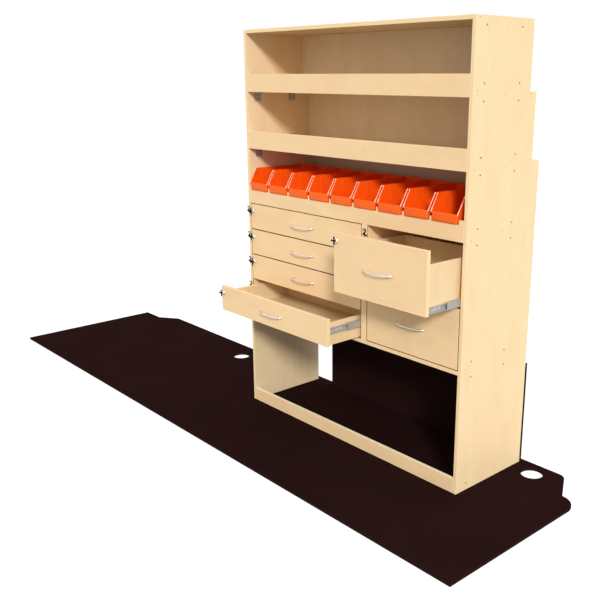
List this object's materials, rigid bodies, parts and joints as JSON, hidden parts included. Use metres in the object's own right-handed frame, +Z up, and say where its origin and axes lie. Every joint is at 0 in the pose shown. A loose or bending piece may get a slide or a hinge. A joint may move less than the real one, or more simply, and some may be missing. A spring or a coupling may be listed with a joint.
{
  "type": "van racking system",
  "caption": "Ply van racking unit with lipped shelves, a row of picking bins, latched drawers on telescopic slides and an open wheel-arch bay, standing on a black floor lining.",
  "frame": {"origin": "on the underside of the floor board, below the middle of the rack's front face", "axes": "+X along the rack's front towards the rear doors, +Y into the depth towards the van wall, +Z up"},
  "size_m": [2.591, 0.688, 1.3603],
  "materials": {
    "birch_ply": "lacquered birch plywood, satin",
    "black_ply": "phenolic-faced black plywood, satin",
    "orange_plastic": "injection-moulded polypropylene, semi-gloss",
    "zinc_steel": "zinc-plated rolled steel",
    "chrome": "polished chrome plate",
    "black_plastic": "moulded nylon, satin"
  },
  "bodies": {
    "rack": {"floor_board": "black_ply", "side_panel_left": "birch_ply", "side_panel_right": "birch_ply", "top_panel": "birch_ply", "shelf_upper": "birch_ply", "shelf_middle": "birch_ply", "lip_upper": "birch_ply", "lip_middle": "birch_ply", "bin_shelf": "birch_ply", "divider": "birch_ply", "drawer_base": "birch_ply", "plinth": "birch_ply", "back_panel_upper": "birch_ply", "back_panel_middle": "birch_ply", "back_panel_lower": "birch_ply", "bin_1": "orange_plastic", "bin_2": "orange_plastic", "bin_3": "orange_plastic", "bin_4": "orange_plastic", "bin_5": "orange_plastic", "bin_6": "orange_plastic", "bin_7": "orange_plastic", "bin_8": "orange_plastic", "bin_9": "orange_plastic"},
    "drawer_left_1": {"drawer_front_left_1": "birch_ply", "drawer_tray_left_1": "birch_ply", "drawer_handle_left_1": "chrome"},
    "drawer_left_2": {"drawer_front_left_2": "birch_ply", "drawer_tray_left_2": "birch_ply", "drawer_handle_left_2": "chrome"},
    "drawer_left_3": {"drawer_front_left_3": "birch_ply", "drawer_tray_left_3": "birch_ply", "drawer_handle_left_3": "chrome"},
    "drawer_left_4": {"drawer_front_left_4": "birch_ply", "drawer_tray_left_4": "birch_ply", "drawer_handle_left_4": "chrome"},
    "drawer_right_1": {"drawer_front_right_1": "birch_ply", "drawer_tray_right_1": "birch_ply", "drawer_handle_right_1": "chrome"},
    "drawer_right_2": {"drawer_front_right_2": "birch_ply", "drawer_tray_right_2": "birch_ply", "drawer_handle_right_2": "chrome"},
    "latch_left_1": {"drawer_latch_left_1": "black_plastic"},
    "latch_left_2": {"drawer_latch_left_2": "black_plastic"},
    "latch_left_3": {"drawer_latch_left_3": "black_plastic"},
    "latch_left_4": {"drawer_latch_left_4": "black_plastic"},
    "latch_right_1": {"drawer_latch_right_1": "black_plastic"},
    "latch_right_2": {"drawer_latch_right_2": "black_plastic"},
    "slide_left_1": {"slide_channel_left_1_a": "zinc_steel", "slide_channel_left_1_b": "zinc_steel"},
    "slide_left_2": {"slide_channel_left_2_a": "zinc_steel", "slide_channel_left_2_b": "zinc_steel"},
    "slide_left_3": {"slide_channel_left_3_a": "zinc_steel", "slide_channel_left_3_b": "zinc_steel"},
    "slide_left_4": {"slide_channel_left_4_a": "zinc_steel", "slide_channel_left_4_b": "zinc_steel"},
    "slide_right_1": {"slide_channel_right_1_a": "zinc_steel", "slide_channel_right_1_b": "zinc_steel"},
    "slide_right_2": {"slide_channel_right_2_a": "zinc_steel", "slide_channel_right_2_b": "zinc_steel"}
  },
  "joints": [
    {"name": "drawer_left_1_slide", "type": "slide", "parent": "rack", "child": "drawer_left_1", "axis": [0, -1, 0], "range_m": [0, 0.27]},
    {"name": "drawer_left_2_slide", "type": "slide", "parent": "rack", "child": "drawer_left_2", "axis": [0, -1, 0], "range_m": [0, 0.27]},
    {"name": "drawer_left_3_slide", "type": "slide", "parent": "rack", "child": "drawer_left_3", "axis": [0, -1, 0], "range_m": [0, 0.27]},
    {"name": "drawer_left_4_slide", "type": "slide", "parent": "rack", "child": "drawer_left_4", "axis": [0, -1, 0], "range_m": [-0.14, 0.13]},
    {"name": "drawer_right_1_slide", "type": "slide", "parent": "rack", "child": "drawer_right_1", "axis": [0, -1, 0], "range_m": [-0.14, 0.13]},
    {"name": "drawer_right_2_slide", "type": "slide", "parent": "rack", "child": "drawer_right_2", "axis": [0, -1, 0], "range_m": [0, 0.27]},
    {"name": "slide_left_1_travel", "type": "slide", "parent": "rack", "child": "slide_left_1", "axis": [0, -1, 0], "range_m": [0, 0.135]},
    {"name": "slide_left_2_travel", "type": "slide", "parent": "rack", "child": "slide_left_2", "axis": [0, -1, 0], "range_m": [0, 0.135]},
    {"name": "slide_left_3_travel", "type": "slide", "parent": "rack", "child": "slide_left_3", "axis": [0, -1, 0], "range_m": [0, 0.135]},
    {"name": "slide_left_4_travel", "type": "slide", "parent": "rack", "child": "slide_left_4", "axis": [0, -1, 0], "range_m": [-0.07, 0.065]},
    {"name": "slide_right_1_travel", "type": "slide", "parent": "rack", "child": "slide_right_1", "axis": [0, -1, 0], "range_m": [-0.07, 0.065]},
    {"name": "slide_right_2_travel", "type": "slide", "parent": "rack", "child": "slide_right_2", "axis": [0, -1, 0], "range_m": [0, 0.135]},
    {"name": "latch_left_1_turn", "type": "hinge", "parent": "drawer_left_1", "child": "latch_left_1", "pos_m": [-0.4725, 0, 0.7423], "axis": [0, -1, 0], "range_deg": [0, 90]},
    {"name": "latch_left_2_turn", "type": "hinge", "parent": "drawer_left_2", "child": "latch_left_2", "pos_m": [-0.4725, 0, 0.6493], "axis": [0, -1, 0], "range_deg": [0, 90]},
    {"name": "latch_left_3_turn", "type": "hinge", "parent": "drawer_left_3", "child": "latch_left_3", "pos_m": [-0.4725, 0, 0.5563], "axis": [0, -1, 0], "range_deg": [0, 90]},
    {"name": "latch_left_4_turn", "type": "hinge", "parent": "drawer_left_4", "child": "latch_left_4", "pos_m": [-0.4725, -0.14, 0.4633], "axis": [0, -1, 0], "range_deg": [0, 90]},
    {"name": "latch_right_1_turn", "type": "hinge", "parent": "drawer_right_1", "child": "latch_right_1", "pos_m": [0.1285, -0.14, 0.7423], "axis": [0, -1, 0], "range_deg": [0, 90]},
    {"name": "latch_right_2_turn", "type": "hinge", "parent": "drawer_right_2", "child": "latch_right_2", "pos_m": [0.1285, 0, 0.5563], "axis": [0, -1, 0], "range_deg": [0, 90]}
  ],
  "couplings": [
    {"joint": "slide_left_1_travel", "follows": "drawer_left_1_slide", "ratio": 0.5},
    {"joint": "slide_left_2_travel", "follows": "drawer_left_2_slide", "ratio": 0.5},
    {"joint": "slide_left_3_travel", "follows": "drawer_left_3_slide", "ratio": 0.5},
    {"joint": "slide_left_4_travel", "follows": "drawer_left_4_slide", "ratio": 0.5},
    {"joint": "slide_right_1_travel", "follows": "drawer_right_1_slide", "ratio": 0.5},
    {"joint": "slide_right_2_travel", "follows": "drawer_right_2_slide", "ratio": 0.5}
  ]
}
